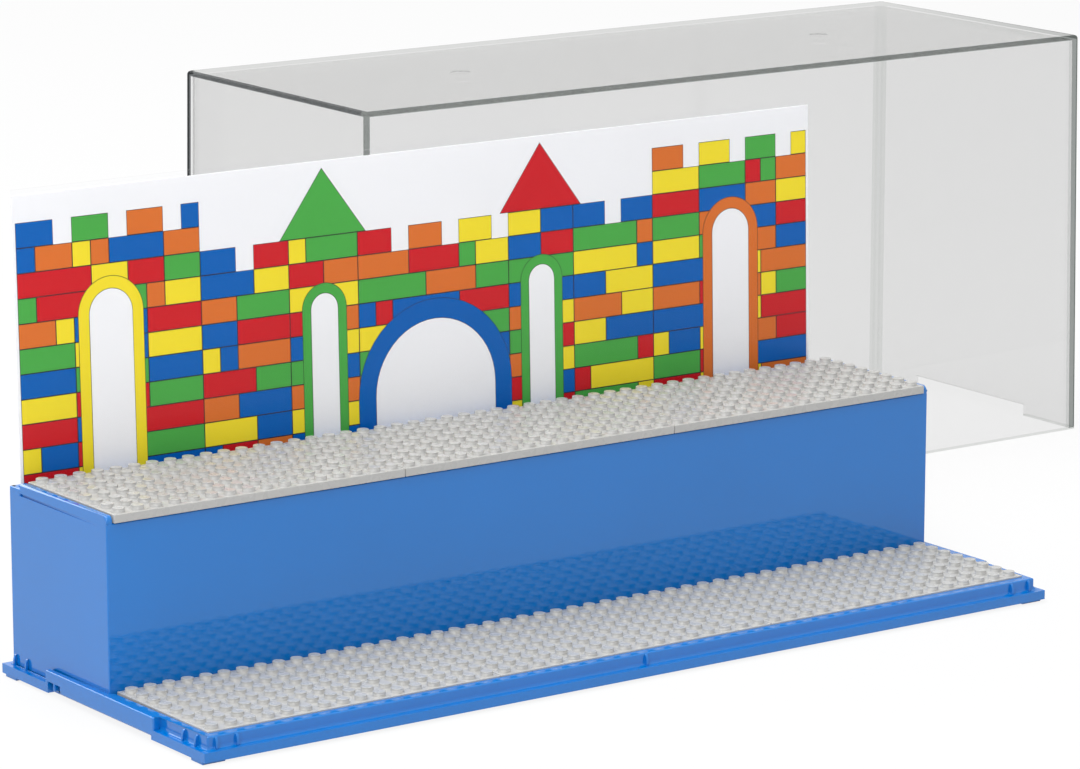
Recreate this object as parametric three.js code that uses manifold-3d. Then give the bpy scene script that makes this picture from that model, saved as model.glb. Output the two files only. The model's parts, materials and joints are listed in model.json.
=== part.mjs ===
// A two-tier display and storage case for building blocks. A moulded tray carries
// three stud plates and a riser box. Three more stud plates are the lids of the
// riser's bins, a printed backdrop stands in the slot behind them, and a clear
// cover, taken off here, stands on the floor behind the case.
// Millimetres, +Z up, X along the case, Y from its front to its back.

import * as THREE from 'three';
import { mergeVertices } from 'three/addons/utils/BufferGeometryUtils.js';
import Module from 'manifold-3d';

const wasm = await Module();
wasm.setup();

// Fits
const seatGap = 0.3;
const cutOverrun = 1;
const joinOverrun = 0.2;

// Stud plates
const studPitch = 8;
const studDiameter = 4.8;
const studHeight = 1.7;
const studSides = 4;
const plateColumns = 16;
const plateRows = 8;
const platesPerTier = 3;
const plateThickness = 3.2;
const plateSkin = 1.5;
const plateRibWidth = 1.5;
const platePocketColumns = 3;
const platePocketRows = 2;

// Tray
const footHeight = 1.2;
const footLength = 10;
const footInsetX = 0.3;
const footInsetY = 2;
const ledgeWidth = 3.1;
const ledgeThickness = 3.7;
const sideRimWidth = 2.4;
const frontRimWidth = 3.7;
const rimHeight = 4.8;
const lowerPlateRise = 0.6;
const rimRadius = 0.5;
const floorThickness = 1.8;
const skirtWidth = 1.6;
const trayCornerRadius = 0.5;
const trayRibWidth = 1.4;
const trayRibClearance = 0.4;
const trayCrossRibs = 5;

// Hand grips on the two short sides of the tray
const gripLength = 78.6;
const gripSetback = 1.4;
const gripUndercut = 1.5;
const gripFrontPost = 1.6;
const gripRearPost = 2.1;
const gripWindowLength = 8.7;
const gripWindowTop = 5.7;
const gripWindowDepth = 2.7;
const gripWindowRib = 1.4;

// Small triangular fins that guide the cover down onto the ledge
const finWidth = 1.2;
const finDepth = 1.7;
const finHeight = 4.4;
const finEdgeHeight = 1.8;
const finShoulderHeight = 3.5;
const finShoulderDepthShare = 0.6;
const finSpacing = 8.8;
const frontFinOffset = 3.4;
const sideFinOffset = 6.6;
const backFinOffset = 2.6;

// Riser box
const riserHeight = 68.5;
const riserFrontGap = 0.5;
const riserOverhang = 1.3;
const riserWall = 2;
const riserEndWall = 2.4;
const riserRearWall = 2.8;
const riserFloor = 1.8;
const riserCornerRadius = 0.5;
const dividerWidth = 2;
const lidShelfDepth = 2.9;
const lidShelfThickness = 2;
const shelfReach = 64.3;
const endWallRise = 0.7;
const lipRise = 3;
const lipLength = 64;
const lipOuterRadius = 1;
const lipFrontRadius = 2;
const lipGrooveHeight = 1;
const lipGrooveDrop = 0.8;
const lipGrooveDepth = 0.8;
const lipGrooveSetback = 5.2;

// Backdrop
const backdropWidth = 379.2;
const backdropHeight = 150.2;
const backdropBottom = 37;
const backdropLean = THREE.MathUtils.degToRad(1.45);
const backdropSheetThickness = 0.5;
const backdropCardThickness = 0.5;
const cardTopMargin = 2.4;
const cardSideMargin = 0.4;
const slotFloorThickness = 1.8;

// Clear cover, and where it stands beside the tray
const coverHeight = 184.7;
const coverWall = 2;
const coverDraft = 2;
const coverCornerRadius = 2;
const coverTopRadius = 1.2;
const coverNotchGap = 0.4;
const gateMarkDiameter = 9;
const gateMarkDepth = 0.4;
const gateMarkOffset = 99.6;
const coverOffsetX = 220.6;
const coverOffsetY = 229.3;

// Facets
const cornerSegments = 3;
const gateMarkSides = 10;

// Worked out from the sizes above
const plateLength = plateColumns * studPitch - seatGap;
const plateDepth = plateRows * studPitch - seatGap;
const tierLength = platesPerTier * plateColumns * studPitch;
const trayInnerHalf = tierLength / 2 + seatGap;
const rimHalfLength = trayInnerHalf + sideRimWidth;
const ledgeHalfLength = rimHalfLength + ledgeWidth;
const ledgeTop = footHeight + ledgeThickness;
const rimTop = ledgeTop + rimHeight;
const lowerPlateBottom = rimTop + lowerPlateRise - plateThickness;
const trayFloorTop = lowerPlateBottom - seatGap;

const backdropThickness = backdropSheetThickness + seatGap + backdropCardThickness;
const riserBottom = ledgeTop + seatGap;
const riserTop = riserBottom + riserHeight;
const endWallTop = riserTop + endWallRise;
const leanRun = (endWallTop - backdropBottom) * Math.tan(backdropLean);
const slotWidth = 2 * seatGap + backdropThickness + leanRun;
const slotFront = shelfReach + riserWall;
const slotBack = slotFront + slotWidth;
const riserDepth = slotBack + riserRearWall;
const upperPlateBottom = riserTop + seatGap;

const recessDepth = seatGap + plateRows * studPitch;
const rimHalfDepth = (frontRimWidth + recessDepth + riserFrontGap + riserDepth) / 2;
const ledgeHalfDepth = rimHalfDepth + ledgeWidth;
const recessFront = frontRimWidth - rimHalfDepth;
const riserFront = recessFront + recessDepth + riserFrontGap;
const lowerPlateCentre = recessFront + seatGap + plateRows * studPitch / 2;
const upperPlateCentre = riserFront - riserOverhang + plateRows * studPitch / 2;
const gripFront = gripSetback - gripLength / 2;
const gripBack = gripSetback + gripLength / 2;

// Turns a closed geometry into a manifold
function solid(geometry) {
  const bare = geometry.clone();
  bare.deleteAttribute('normal');
  bare.deleteAttribute('uv');
  const merged = mergeVertices(bare);
  return new wasm.Manifold(new wasm.Mesh({
    numProp: 3,
    vertProperties: merged.attributes.position.array,
    triVerts: merged.index.array,
  }));
}

// Turns a manifold back into a geometry
function surface(manifold) {
  const mesh = manifold.getMesh();
  const geometry = new THREE.BufferGeometry();
  geometry.setAttribute('position', new THREE.BufferAttribute(mesh.vertProperties, 3));
  geometry.setIndex(new THREE.BufferAttribute(mesh.triVerts, 1));
  geometry.computeVertexNormals();
  return geometry;
}

function block(x0, x1, y0, y1, z0, z1) {
  const geometry = new THREE.BoxGeometry(x1 - x0, y1 - y0, z1 - z0);
  geometry.translate((x0 + x1) / 2, (y0 + y1) / 2, (z0 + z1) / 2);
  return solid(geometry);
}

// The same block on the right and, mirrored, on the left
function blockPair(x0, x1, y0, y1, z0, z1) {
  return block(x0, x1, y0, y1, z0, z1).add(block(-x1, -x0, y0, y1, z0, z1));
}

function extrude(shape, depth) {
  return new THREE.ExtrudeGeometry(shape, {
    depth, bevelEnabled: false, curveSegments: cornerSegments,
  });
}

// An outline in X and Y, from height z0 to z1
function slab(shape, z0, z1) {
  return solid(extrude(shape, z1 - z0).translate(0, 0, z0));
}

// An outline in Y and Z, run along X
function runAlongX(shape, x0, x1) {
  const geometry = extrude(shape, x1 - x0);
  geometry.applyMatrix4(new THREE.Matrix4().makeBasis(
    new THREE.Vector3(0, 1, 0), new THREE.Vector3(0, 0, 1), new THREE.Vector3(1, 0, 0)));
  return solid(geometry.translate(x0, 0, 0));
}

// An outline in X and Z, run along Y
function runAlongY(shape, y0, y1) {
  const geometry = extrude(shape, y1 - y0);
  geometry.applyMatrix4(new THREE.Matrix4().makeBasis(
    new THREE.Vector3(1, 0, 0), new THREE.Vector3(0, 0, 1), new THREE.Vector3(0, -1, 0)));
  return solid(geometry.translate(0, y1, 0));
}

function roundedRectangle(x0, x1, y0, y1, radius) {
  const shape = new THREE.Shape();
  const quarter = Math.PI / 2;
  shape.absarc(x1 - radius, y0 + radius, radius, -quarter, 0);
  shape.absarc(x1 - radius, y1 - radius, radius, 0, quarter);
  shape.absarc(x0 + radius, y1 - radius, radius, quarter, 2 * quarter);
  shape.absarc(x0 + radius, y0 + radius, radius, 2 * quarter, 3 * quarter);
  return shape;
}

function outline(points) {
  return new THREE.Shape(points.map(([u, v]) => new THREE.Vector2(u, v)));
}

// A rectangle whose corner at its largest u and v is rounded
function roundedCorner(u0, u1, v0, v1, radius) {
  const shape = new THREE.Shape();
  shape.moveTo(u0, v0);
  shape.lineTo(u1, v0);
  shape.absarc(u1 - radius, v1 - radius, radius, 0, Math.PI / 2);
  shape.lineTo(u0, v1);
  return shape;
}

// A closed skin through rings of equal count, each a list of points at its height
function loft(rings) {
  const count = rings[0].points.length;
  const positions = rings.flatMap(({ points, z }) => points.flatMap((p) => [p.x, p.y, z]));
  const index = [];
  for (let ring = 0; ring + 1 < rings.length; ring += 1) {
    for (let i = 0; i < count; i += 1) {
      const a = ring * count + i;
      const b = ring * count + (i + 1) % count;
      index.push(a, b, b + count);
      index.push(a, b + count, a + count);
    }
  }
  const last = (rings.length - 1) * count;
  for (let i = 1; i + 1 < count; i += 1) {
    index.push(0, i + 1, i);
    index.push(last, last + i, last + i + 1);
  }
  const geometry = new THREE.BufferGeometry();
  geometry.setAttribute('position', new THREE.Float32BufferAttribute(positions, 3));
  geometry.setIndex(index);
  return solid(geometry);
}

// Stud plate: a hollow slab with ribs below and its grid of studs on top.
// Each stud is a prism of as much area as the round one.
function makeStudPlate() {
  const halfLength = plateLength / 2;
  const halfDepth = plateDepth / 2;
  let plate = block(-halfLength, halfLength, -halfDepth, halfDepth, 0, plateThickness);

  const pocketLength = (plateLength - plateRibWidth) / platePocketColumns - plateRibWidth;
  const pocketDepth = (plateDepth - plateRibWidth) / platePocketRows - plateRibWidth;
  for (let column = 0; column < platePocketColumns; column += 1) {
    for (let row = 0; row < platePocketRows; row += 1) {
      const x = -halfLength + plateRibWidth + column * (pocketLength + plateRibWidth);
      const y = -halfDepth + plateRibWidth + row * (pocketDepth + plateRibWidth);
      plate = plate.subtract(
        block(x, x + pocketLength, y, y + pocketDepth, -cutOverrun, plateThickness - plateSkin));
    }
  }

  const side = 2 * Math.PI / studSides;
  const roundToPrismShare = Math.sqrt(side / Math.sin(side));
  const radius = studDiameter / 2 * roundToPrismShare;
  const corners = Array.from({ length: studSides }, (_, i) => {
    const angle = (i + 1 / 2) * side;
    return [radius * Math.cos(angle), radius * Math.sin(angle)];
  });
  const stud = slab(outline(corners), plateThickness - joinOverrun, plateThickness + studHeight);
  const studs = [];
  for (let column = 0; column < plateColumns; column += 1) {
    for (let row = 0; row < plateRows; row += 1) {
      const x = (column - (plateColumns - 1) / 2) * studPitch;
      const y = (row - (plateRows - 1) / 2) * studPitch;
      studs.push(stud.translate([x, y, 0]));
    }
  }
  return surface(wasm.Manifold.union([plate, ...studs]));
}

// One guide fin, with its back at u = 0 and leaning outwards along u
function finOutline(setback) {
  return outline([
    [setback, ledgeTop - joinOverrun],
    [finDepth, ledgeTop - joinOverrun],
    [finDepth, ledgeTop + finEdgeHeight],
    [finDepth * finShoulderDepthShare, ledgeTop + finShoulderHeight],
    [setback, ledgeTop + finHeight],
  ]);
}

// Fins along the front, the sides and the back of the ledge. Those in front grow
// out of the rim, those beside the riser stand clear of its walls.
function makeFins() {
  const fins = [];
  const half = finWidth / 2;
  const rooted = finOutline(-joinOverrun);
  const clear = finOutline(seatGap);
  const frontPlaces = [0];
  for (const step of [0, 1]) {
    const x = rimHalfLength - frontFinOffset - step * finSpacing;
    frontPlaces.push(x, -x);
  }
  for (const x of frontPlaces) {
    fins.push(runAlongX(clear, x - half, x + half).translate([0, rimHalfDepth, 0]));
    fins.push(runAlongX(rooted, x - half, x + half).mirror([0, 1, 0])
      .translate([0, -rimHalfDepth, 0]));
  }
  for (const step of [0, 1]) {
    const front = sideFinOffset + step * finSpacing - rimHalfDepth;
    const back = rimHalfDepth - backFinOffset - step * finSpacing;
    for (const [shape, y] of [[rooted, front], [clear, back]]) {
      const fin = runAlongY(shape, y - half, y + half).translate([rimHalfLength, 0, 0]);
      fins.push(fin, fin.mirror([1, 0, 0]));
    }
  }
  return wasm.Manifold.union(fins);
}

// Underside of the tray: a hollow inside the skirt, with ribs and solid foot corners
function makeTrayHollow() {
  const halfX = ledgeHalfLength - skirtWidth;
  const halfY = ledgeHalfDepth - skirtWidth;
  const rearCeiling = ledgeTop - floorThickness;
  const frontCeiling = trayFloorTop - floorThickness;
  const frontHalfX = trayInnerHalf - floorThickness;
  const frontEnd = riserFront - floorThickness;
  let hollow = block(-halfX, halfX, -halfY, halfY, -cutOverrun, rearCeiling);
  hollow = hollow.add(
    block(-frontHalfX, frontHalfX, recessFront, frontEnd, -cutOverrun, frontCeiling));

  const ribBottom = footHeight + trayRibClearance;
  const ribHalf = trayRibWidth / 2;
  const ribPitch = 2 * halfX / (trayCrossRibs + 1);
  const ribs = [];
  for (let rib = 1; rib <= trayCrossRibs; rib += 1) {
    const x = -halfX + rib * ribPitch;
    ribs.push(block(x - ribHalf, x + ribHalf, -halfY, halfY, ribBottom, rimTop));
  }
  for (const y of [lowerPlateCentre, riserFront, riserFront + riserDepth / 2]) {
    ribs.push(block(-halfX, halfX, y - ribHalf, y + ribHalf, ribBottom, rimTop));
  }
  const innerX = ledgeHalfLength - footLength;
  const innerY = ledgeHalfDepth - footLength;
  for (const [y0, y1] of [[-ledgeHalfDepth, -innerY], [innerY, ledgeHalfDepth]]) {
    ribs.push(blockPair(innerX, ledgeHalfLength, y0, y1, -cutOverrun, rimTop));
  }
  return hollow.subtract(wasm.Manifold.union(ribs));
}

function makeFeet() {
  const x1 = ledgeHalfLength - footInsetX;
  const y1 = ledgeHalfDepth - footInsetY;
  const x0 = ledgeHalfLength - footLength;
  const y0 = ledgeHalfDepth - footLength;
  const z1 = footHeight + joinOverrun;
  return blockPair(x0, x1, y0, y1, 0, z1).add(blockPair(x0, x1, -y1, -y0, 0, z1));
}

// Base tray: ledge, rim round the lower plates, hand grips, fins, ribs and feet
function makeBaseTray() {
  const ledge = slab(
    roundedRectangle(-ledgeHalfLength, ledgeHalfLength, -ledgeHalfDepth, ledgeHalfDepth,
      trayCornerRadius),
    footHeight, ledgeTop);

  const rimBack = riserFront - seatGap;
  const rimOutline = outline([
    [-rimHalfDepth, ledgeTop - joinOverrun],
    [rimBack, ledgeTop - joinOverrun],
    [rimBack, rimTop],
    [rimRadius - rimHalfDepth, rimTop],
    [-rimHalfDepth, rimTop - rimRadius],
  ]);
  const rim = runAlongX(rimOutline, -rimHalfLength, rimHalfLength);
  const recess = block(-trayInnerHalf, trayInnerHalf, recessFront, rimBack + cutOverrun,
    trayFloorTop, rimTop + cutOverrun);

  const gripBottom = footHeight + gripUndercut;
  const grips = blockPair(rimHalfLength - joinOverrun, ledgeHalfLength, gripFront, gripBack,
    gripBottom, rimTop);
  const undercuts = blockPair(ledgeHalfLength - skirtWidth - cutOverrun,
    ledgeHalfLength + cutOverrun, gripFront + gripFrontPost, gripBack - gripRearPost,
    0, gripBottom);
  const riserRoom = block(-rimHalfLength - seatGap, rimHalfLength + seatGap, rimBack,
    rimHalfDepth + seatGap, ledgeTop, rimTop + cutOverrun);

  const windowEnd = gripBack - gripRearPost;
  const windowStart = windowEnd - gripWindowLength;
  const windowMiddle = (windowStart + windowEnd) / 2;
  const windowBack = ledgeHalfLength - gripWindowDepth;
  const windowOuter = ledgeHalfLength + cutOverrun;
  const ribHalf = gripWindowRib / 2;
  const windows = blockPair(windowBack, windowOuter, windowStart, windowMiddle - ribHalf,
    0, gripWindowTop).add(
    blockPair(windowBack, windowOuter, windowMiddle + ribHalf, windowEnd, 0, gripWindowTop));

  return surface(ledge.add(rim).subtract(recess)
    .subtract(makeTrayHollow())
    .subtract(undercuts)
    .add(grips)
    .subtract(riserRoom)
    .subtract(windows)
    .add(makeFins())
    .add(makeFeet()));
}

// Lip beside the lids at each end of the riser, rounded outside and in front
function makeLips() {
  const z0 = riserTop - joinOverrun;
  const z1 = riserTop + lipRise;
  const across = runAlongY(
    roundedCorner(trayInnerHalf, rimHalfLength, z0, z1, lipOuterRadius), 0, lipLength);
  const along = runAlongX(
    roundedCorner(-lipLength, 0, z0, z1, lipFrontRadius), trayInnerHalf, rimHalfLength);
  const lip = across.intersect(along.mirror([0, 1, 0]));
  return lip.add(lip.mirror([1, 0, 0]));
}

// Shallow groove under each lip, which fades out towards the front
function makeLipGrooves() {
  const top = riserTop - lipGrooveDrop;
  const groove = slab(outline([
    [rimHalfLength, lipGrooveSetback],
    [rimHalfLength + cutOverrun, lipGrooveSetback],
    [rimHalfLength + cutOverrun, lipLength],
    [rimHalfLength - lipGrooveDepth, lipLength],
  ]), top - lipGrooveHeight, top);
  return groove.add(groove.mirror([1, 0, 0]));
}

// Riser box: three bins in a row, a shelf for the lids and a slot for the backdrop
function makeRiserBox() {
  const body = slab(
    roundedRectangle(-rimHalfLength, rimHalfLength, 0, riserDepth, riserCornerRadius),
    riserBottom, riserTop);
  const endWalls = blockPair(trayInnerHalf, rimHalfLength, lipLength,
    riserDepth - riserCornerRadius, riserTop - joinOverrun, endWallTop);
  const rearWall = block(riserCornerRadius - rimHalfLength, rimHalfLength - riserCornerRadius,
    slotBack, riserDepth, riserTop - joinOverrun, endWallTop);

  const cuts = [];
  const innerHalf = rimHalfLength - riserEndWall;
  const binPitch = (2 * innerHalf + dividerWidth) / platesPerTier;
  const shelfFront = shelfReach - lidShelfDepth;
  const shelfBottom = riserTop - lidShelfThickness;
  for (let bin = 0; bin < platesPerTier; bin += 1) {
    const x0 = -innerHalf + bin * binPitch;
    const x1 = x0 + binPitch - dividerWidth;
    const floor = riserBottom + riserFloor;
    cuts.push(block(x0, x1, riserWall, shelfFront, floor, riserTop + cutOverrun));
    cuts.push(block(x0, x1, riserWall, shelfReach, floor, shelfBottom));
  }
  const slotFloor = backdropBottom - seatGap;
  cuts.push(block(-innerHalf, innerHalf, slotFront, slotBack, slotFloor,
    endWallTop + cutOverrun));
  cuts.push(block(-innerHalf, innerHalf, slotFront, slotBack, riserBottom - cutOverrun,
    slotFloor - slotFloorThickness));
  return surface(body.add(endWalls).add(rearWall).add(makeLips())
    .subtract(wasm.Manifold.union(cuts))
    .subtract(makeLipGrooves()));
}

function makeBackdropPanel(halfWidth, y0, thickness, height) {
  return surface(block(-halfWidth, halfWidth, y0, y0 + thickness, 0, height));
}

// The points of a rounded rectangle's outline, for the rings of the cover
function ringPoints(halfX, halfY, radius) {
  const quarter = Math.PI / 2;
  const points = [];
  for (const [signX, signY, start] of [[1, -1, -1], [1, 1, 0], [-1, 1, 1], [-1, -1, 2]]) {
    for (let step = 0; step <= cornerSegments; step += 1) {
      const angle = (start + step / cornerSegments) * quarter;
      points.push(new THREE.Vector2(
        signX * (halfX - radius) + radius * Math.cos(angle),
        signY * (halfY - radius) + radius * Math.sin(angle)));
    }
  }
  return points;
}

// Clear cover: a five-sided shell that narrows upwards, open below, with a notch
// in each short side that clears the tray's hand grip
function makeCover() {
  const ring = (inset, radius, z) => {
    const draft = coverDraft * z / coverHeight;
    const points = ringPoints(
      ledgeHalfLength - inset - draft, ledgeHalfDepth - inset - draft, radius);
    return { points, z };
  };
  const shoulder = coverHeight - coverTopRadius;
  const innerRadius = coverCornerRadius / 2;
  const outer = loft([
    ring(0, coverCornerRadius, 0),
    ring(0, coverCornerRadius, shoulder),
    ring(coverTopRadius * (1 - Math.SQRT1_2), coverCornerRadius,
      shoulder + coverTopRadius * Math.SQRT1_2),
    ring(coverTopRadius, coverCornerRadius - coverTopRadius / 2, coverHeight),
  ]);
  const inner = loft([
    ring(coverWall, innerRadius, -cutOverrun),
    ring(coverWall, innerRadius, coverHeight - coverWall),
  ]);
  const notches = blockPair(ledgeHalfLength - 2 * coverWall - coverDraft,
    ledgeHalfLength + cutOverrun, gripFront - coverNotchGap, gripBack + coverNotchGap,
    -cutOverrun, rimHeight + coverNotchGap);
  let cover = outer.subtract(inner).subtract(notches);
  for (const side of [-1, 1]) {
    const mark = new THREE.CylinderGeometry(
      gateMarkDiameter / 2, gateMarkDiameter / 2, 2 * gateMarkDepth, gateMarkSides);
    mark.rotateX(Math.PI / 2).translate(side * gateMarkOffset, 0, coverHeight);
    cover = cover.subtract(solid(mark));
  }
  return surface(cover);
}

const bluePlastic = () => new THREE.MeshStandardMaterial({
  color: 0x2f7fd0, roughness: 0.22, metalness: 0,
});
const greyPlastic = () => new THREE.MeshStandardMaterial({
  color: 0xc9cac8, roughness: 0.35, metalness: 0,
});
const clearPlastic = () => new THREE.MeshStandardMaterial({
  color: 0xe6e8e8, roughness: 0.05, metalness: 0, transparent: true, opacity: 0.25,
});
const whiteCard = () => new THREE.MeshStandardMaterial({
  color: 0xf0f0f4, roughness: 0.4, metalness: 0,
});

function piece(name, geometry, material, x, y, z) {
  const mesh = new THREE.Mesh(geometry, material);
  mesh.name = name;
  mesh.position.set(x, y, z);
  return mesh;
}

const displayCase = new THREE.Group();

const base = new THREE.Group();
base.position.set(-coverOffsetX / 2, -coverOffsetY / 2, 0);
displayCase.add(base);

base.add(piece('base_tray', makeBaseTray(), bluePlastic(), 0, 0, 0));
base.add(piece('riser_box', makeRiserBox(), bluePlastic(), 0, riserFront, 0));

const plateGeometry = makeStudPlate();
const tiers = [
  ['lower', lowerPlateCentre, lowerPlateBottom],
  ['upper', upperPlateCentre, upperPlateBottom],
];
const places = ['left', 'middle', 'right'];
for (const [tier, y, z] of tiers) {
  for (let i = 0; i < platesPerTier; i += 1) {
    const x = (i - (platesPerTier - 1) / 2) * plateColumns * studPitch;
    base.add(piece(`${tier}_stud_plate_${places[i]}`, plateGeometry, greyPlastic(), x, y, z));
  }
}

// The backdrop has slid to the left end of its slot and leans back on the rear wall
const backdrop = new THREE.Group();
backdrop.position.set(
  backdropWidth / 2 + seatGap - (rimHalfLength - riserEndWall),
  riserFront + slotFront + seatGap,
  backdropBottom);
backdrop.rotation.x = -backdropLean;
base.add(backdrop);
backdrop.add(piece('backdrop_sheet', makeBackdropPanel(
  backdropWidth / 2, 0, backdropSheetThickness, backdropHeight), clearPlastic(), 0, 0, 0));
backdrop.add(piece('backdrop_card', makeBackdropPanel(
  backdropWidth / 2 - cardSideMargin, backdropSheetThickness + seatGap, backdropCardThickness,
  backdropHeight - cardTopMargin), whiteCard(), 0, 0, 0));

displayCase.add(piece('clear_cover', makeCover(), clearPlastic(),
  coverOffsetX / 2, coverOffsetY / 2, 0));

export default displayCase;
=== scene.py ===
# Two-tier display and storage case for building blocks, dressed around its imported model:
# moulded plastics, round studs, the printed backdrop, the clear cover and a pale studio.

import json
import math
import random

import bmesh
import bpy
from mathutils import Matrix, Vector


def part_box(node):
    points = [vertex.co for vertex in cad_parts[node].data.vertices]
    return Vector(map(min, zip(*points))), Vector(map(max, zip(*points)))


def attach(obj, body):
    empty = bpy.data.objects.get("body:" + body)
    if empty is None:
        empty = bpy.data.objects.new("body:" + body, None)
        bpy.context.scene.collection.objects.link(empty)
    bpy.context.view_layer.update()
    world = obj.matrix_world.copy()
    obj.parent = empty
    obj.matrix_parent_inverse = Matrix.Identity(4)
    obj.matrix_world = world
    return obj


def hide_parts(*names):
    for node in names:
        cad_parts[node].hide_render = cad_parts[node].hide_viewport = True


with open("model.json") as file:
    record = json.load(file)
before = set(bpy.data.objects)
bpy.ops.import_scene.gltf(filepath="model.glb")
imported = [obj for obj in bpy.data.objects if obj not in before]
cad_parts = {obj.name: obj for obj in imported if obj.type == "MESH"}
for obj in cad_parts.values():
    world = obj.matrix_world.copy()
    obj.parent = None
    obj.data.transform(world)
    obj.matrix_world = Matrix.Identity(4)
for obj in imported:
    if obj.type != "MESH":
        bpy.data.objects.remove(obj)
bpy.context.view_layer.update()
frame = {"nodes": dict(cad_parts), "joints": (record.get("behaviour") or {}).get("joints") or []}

bl_info = {
    "name": "Two-tier block case",
    "version": (1, 0, 0),
    "blender": (4, 5, 0),
    "location": "View3D > Sidebar > Block Case",
    "description": "Dresses a two-tier display case for building blocks",
    "category": "Add Mesh",
}

MM = 0.001

PLATE_NAMES = [
    f"{tier}_stud_plate_{place}"
    for tier in ("lower", "upper")
    for place in ("left", "middle", "right")
]
PLATE_BODIES = {
    "upper_stud_plate_left": "lid_left",
    "upper_stud_plate_middle": "lid_middle",
    "upper_stud_plate_right": "lid_right",
}
BACKDROP_LIFT = next(j for j in frame["joints"] if j["name"] == "backdrop_lift")


# Settings that a user would change

class BlueMouldingSettings(bpy.types.PropertyGroup):
    """Tray and riser box"""
    colour: bpy.props.FloatVectorProperty(
        name="Colour",
        description="Colour of the tray and the riser box",
        subtype="COLOR", size=3, min=0.0, max=1.0,
        default=(0.0, 0.161, 0.535),
    )
    tray_edge_radius: bpy.props.FloatProperty(
        name="Tray edge radius",
        description="Radius of the edges of the tray",
        subtype="DISTANCE", unit="LENGTH",
        default=0.65 * MM, min=0.0,
    )
    edge_radius: bpy.props.FloatProperty(
        name="Riser edge radius",
        description="Radius of the edges of the riser box",
        subtype="DISTANCE", unit="LENGTH",
        default=0.5 * MM, min=0.0,
    )
    roughness: bpy.props.FloatProperty(
        name="Roughness",
        description="How much the glossy surface blurs what it mirrors",
        subtype="FACTOR", min=0.0, max=1.0,
        default=0.02,
    )


class StudPlateSettings(bpy.types.PropertyGroup):
    """Stud plates of both tiers"""
    colour: bpy.props.FloatVectorProperty(
        name="Colour",
        description="Colour of the stud plates",
        subtype="COLOR", size=3, min=0.0, max=1.0,
        default=(0.45, 0.448, 0.435),
    )
    stud_diameter: bpy.props.FloatProperty(
        name="Stud diameter",
        description="Diameter of each round stud",
        subtype="DISTANCE", unit="LENGTH",
        default=4.8 * MM, min=1.0 * MM,
    )
    stud_height: bpy.props.FloatProperty(
        name="Stud height",
        description="Height of each stud above its plate",
        subtype="DISTANCE", unit="LENGTH",
        default=1.7 * MM, min=0.1 * MM,
    )
    edge_radius: bpy.props.FloatProperty(
        name="Edge radius",
        description="Radius of the edges of studs and plates",
        subtype="DISTANCE", unit="LENGTH",
        default=0.2 * MM, min=0.0,
    )


class BackdropSettings(bpy.types.PropertyGroup):
    """Printed card and its clear sheet"""
    card_colour: bpy.props.FloatVectorProperty(
        name="Card",
        description="Colour of the bare card",
        subtype="COLOR", size=3, min=0.0, max=1.0,
        default=(0.96, 0.96, 0.98),
    )
    yellow: bpy.props.FloatVectorProperty(
        name="Yellow", description="First ink of the print",
        subtype="COLOR", size=3, min=0.0, max=1.0,
        default=(0.95, 0.77, 0.03),
    )
    blue: bpy.props.FloatVectorProperty(
        name="Blue", description="Second ink of the print",
        subtype="COLOR", size=3, min=0.0, max=1.0,
        default=(0.0, 0.125, 0.49),
    )
    red: bpy.props.FloatVectorProperty(
        name="Red", description="Third ink of the print",
        subtype="COLOR", size=3, min=0.0, max=1.0,
        default=(0.65, 0.012, 0.02),
    )
    green: bpy.props.FloatVectorProperty(
        name="Green", description="Fourth ink of the print",
        subtype="COLOR", size=3, min=0.0, max=1.0,
        default=(0.075, 0.42, 0.07),
    )
    orange: bpy.props.FloatVectorProperty(
        name="Orange", description="Fifth ink of the print",
        subtype="COLOR", size=3, min=0.0, max=1.0,
        default=(0.75, 0.18, 0.03),
    )
    outline_width: bpy.props.FloatProperty(
        name="Outline width",
        description="Width of the dark line along each printed block",
        subtype="DISTANCE", unit="LENGTH",
        default=0.22 * MM, min=0.0,
    )


class CoverSettings(bpy.types.PropertyGroup):
    """Clear cover"""
    wall_tint: bpy.props.FloatVectorProperty(
        name="Wall tint",
        description="What one face of a clear wall lets through",
        subtype="COLOR", size=3, min=0.0, max=1.0,
        default=(0.935, 0.935, 0.935),
    )
    # The three edge colours below are painted shade on the cover's rounded edges: darkest at the
    # left end, mid grey in front and pale at the back
    left_edge_painted_shade: bpy.props.FloatVectorProperty(
        name="Left edge tint",
        description="What a rounded edge at the left end lets through",
        subtype="COLOR", size=3, min=0.0, max=1.0,
        default=(0.19, 0.2, 0.205),
    )
    front_edge_painted_shade: bpy.props.FloatVectorProperty(
        name="Front edge tint",
        description="What a rounded edge in front lets through",
        subtype="COLOR", size=3, min=0.0, max=1.0,
        default=(0.34, 0.36, 0.35),
    )
    back_edge_painted_shade: bpy.props.FloatVectorProperty(
        name="Back edge tint",
        description="What a rounded edge at the back lets through",
        subtype="COLOR", size=3, min=0.0, max=1.0,
        default=(0.8, 0.81, 0.8),
    )


class StageSettings(bpy.types.PropertyGroup):
    """Floor, light and camera"""
    lens: bpy.props.FloatProperty(
        name="Focal length",
        description="Focal length of the camera, in millimetres",
        subtype="DISTANCE_CAMERA", unit="CAMERA",
        default=160.247, min=1.0,
    )
    ambient: bpy.props.FloatProperty(
        name="Ambient light",
        description="Strength of the light from all around",
        default=0.47, min=0.0,
    )
    key_power: bpy.props.FloatProperty(
        name="Key light",
        description="Power of the soft light at the front left",
        subtype="POWER", unit="POWER",
        default=18.0, min=0.0,
    )
    top_power: bpy.props.FloatProperty(
        name="Top light",
        description="Power of the light above the case",
        subtype="POWER", unit="POWER",
        default=35.0, min=0.0,
    )
    back_power: bpy.props.FloatProperty(
        name="Back light",
        description="Power of the wide light high behind the case",
        subtype="POWER", unit="POWER",
        default=20.0, min=0.0,
    )


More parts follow.
